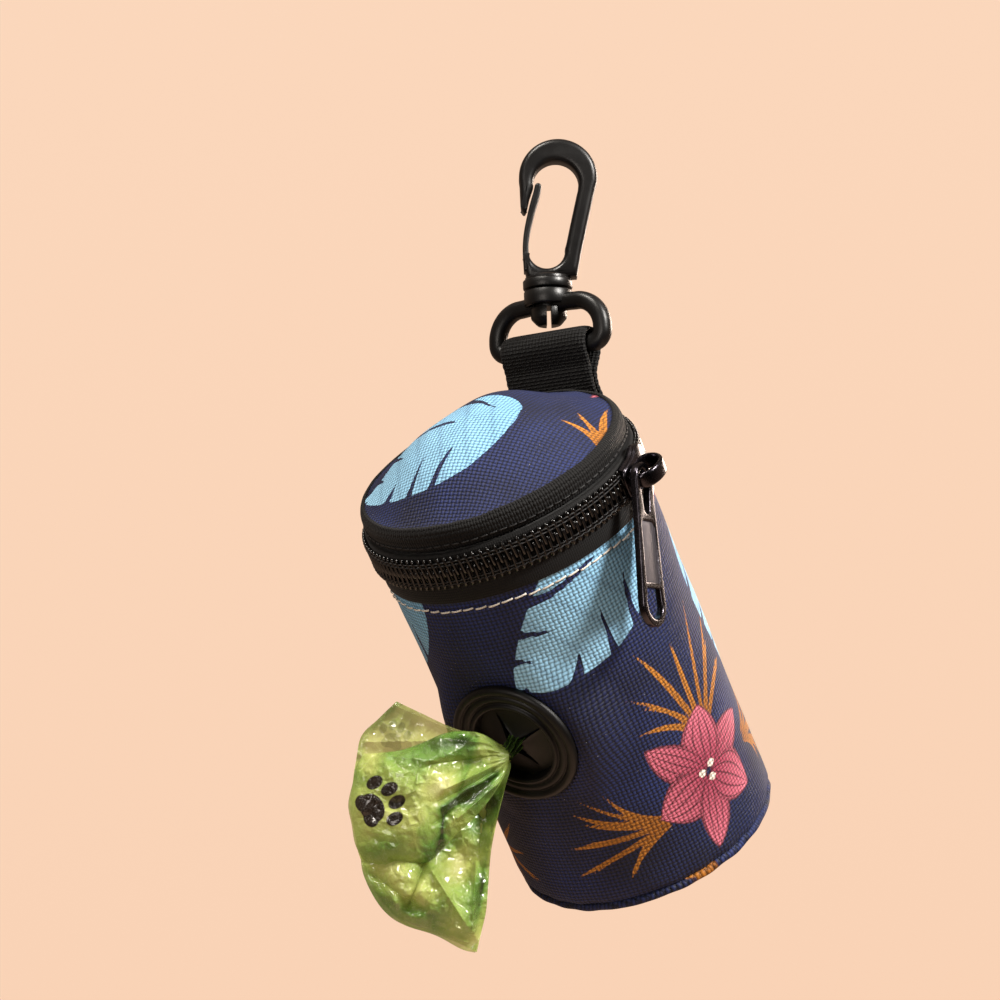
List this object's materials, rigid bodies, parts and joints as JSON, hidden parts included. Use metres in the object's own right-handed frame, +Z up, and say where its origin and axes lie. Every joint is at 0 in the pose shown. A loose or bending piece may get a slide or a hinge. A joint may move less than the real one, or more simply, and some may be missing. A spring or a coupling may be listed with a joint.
{
  "type": "bag dispenser",
  "caption": "Zipped round fabric pouch that dispenses bags from a roll through a slit rubber ring, hung on a webbing strap from a swivel snap hook.",
  "frame": {"origin": "inside top of the snap hook's bow, where the ring that carries it sits", "axes": "+Z up along the swivel, as it hangs, and +Y away from the viewer across the hook's flat side; the pouch hangs tilted below"},
  "size_m": [0.0769, 0.0821, 0.1482],
  "materials": {
    "acetal": "fine matte moulded",
    "webbing": "woven polypropylene webbing",
    "thread": "spun polyester thread",
    "light_thread": "spun polyester thread",
    "printed_cloth": "woven polyester, dye printed",
    "foam": "laminated foam padding",
    "lining": "plain woven lining",
    "binding": "ribbed folded binding tape",
    "zip_tape": "knitted zip tape",
    "coil": "nylon coil",
    "gunmetal": "black nickel plated die casting",
    "board": "stiff polyethylene sheet",
    "rubber": "soft moulded rubber",
    "cardboard": "spiral wound core",
    "film": "thin polyethylene film"
  },
  "bodies": {
    "hook": {"hook_body": "acetal"},
    "gate": {"hook_gate": "acetal"},
    "eye": {"swivel_eye": "acetal"},
    "strap": {"strap_loop": "webbing"},
    "lid": {"strap_tail": "webbing", "strap_stitches": "thread", "lid_shell": "printed_cloth", "lid_foam": "foam", "lid_lining": "lining", "lid_binding": "binding", "binding_stitches": "thread", "upper_tape": "zip_tape", "upper_coil": "coil", "hinge_leaf_upper": "binding", "zip_stops": "gunmetal"},
    "slider": {"slider_body": "gunmetal", "slider_bail": "gunmetal"},
    "pull": {"zip_pull": "gunmetal"},
    "pouch": {"pouch_shell": "printed_cloth", "pouch_foam": "foam", "pouch_lining": "lining", "lower_tape": "zip_tape", "lower_coil": "coil", "hinge_leaf_lower": "binding", "top_stitching": "light_thread", "back_seam_tape": "binding", "base_disc": "printed_cloth", "base_stiffener": "board", "base_lining": "lining", "base_seam_tape": "binding", "grommet_flange": "rubber", "grommet_back_ring": "rubber", "slit_membrane": "rubber", "bag_neck": "film"},
    "roll": {"roll_core": "cardboard", "bag_roll": "film"},
    "bag": {"bag_tail": "film"}
  },
  "joints": [
    {"name": "gate_flex", "type": "hinge", "parent": "hook", "child": "gate", "pos_m": [-0.0062, 0, -0.0174], "axis": [0, 1, 0], "range_deg": [0, 18], "stiffness_Nm_per_rad": 0.03},
    {"name": "eye_swivel", "type": "hinge", "parent": "hook", "child": "eye", "pos_m": [-0.00225, 0, -0.0353], "axis": [0, 0, 1], "continuous": true},
    {"name": "strap_swing", "type": "hinge", "parent": "eye", "child": "strap", "pos_m": [-0.00225, 0, -0.0353], "axis": [-0.8192, 0.5736, 0], "range_deg": [-60, 60]},
    {"name": "lid_tilt", "type": "hinge", "parent": "strap", "child": "lid", "pos_m": [-0.00225, 0, -0.0417], "axis": [-0.8192, 0.5736, 0], "range_deg": [-35, 35]},
    {"name": "zip_open", "type": "hinge", "parent": "lid", "child": "pouch", "pos_m": [0.00012, 0.00338, -0.04883], "axis": [0.8192, -0.5736, 0], "range_deg": [0, 120]},
    {"name": "zip_run", "type": "hinge", "parent": "lid", "child": "slider", "pos_m": [-0.01197, -0.01388, -0.06415], "axis": [-0.3371, -0.4815, 0.809], "range_deg": [-228, 0]},
    {"name": "pull_swing", "type": "hinge", "parent": "slider", "child": "pull", "pos_m": [0.011, -0.03011, -0.06423], "axis": [0.8565, -0.5136, 0.0512], "range_deg": [-120, 60]},
    {"name": "bag_pull", "type": "slide", "parent": "pouch", "child": "bag", "axis": [-0.464, -0.6627, -0.5878], "range_m": [0, 0.025]},
    {"name": "roll_spin", "type": "hinge", "parent": "pouch", "child": "roll", "pos_m": [-0.01197, -0.01388, -0.06415], "axis": [-0.3371, -0.4815, 0.809], "range_deg": [0, 90]}
  ],
  "couplings": [
    {"joint": "zip_run", "follows": "zip_open", "ratio": -1.9},
    {"joint": "roll_spin", "follows": "bag_pull", "rad_per_m": 62}
  ]
}
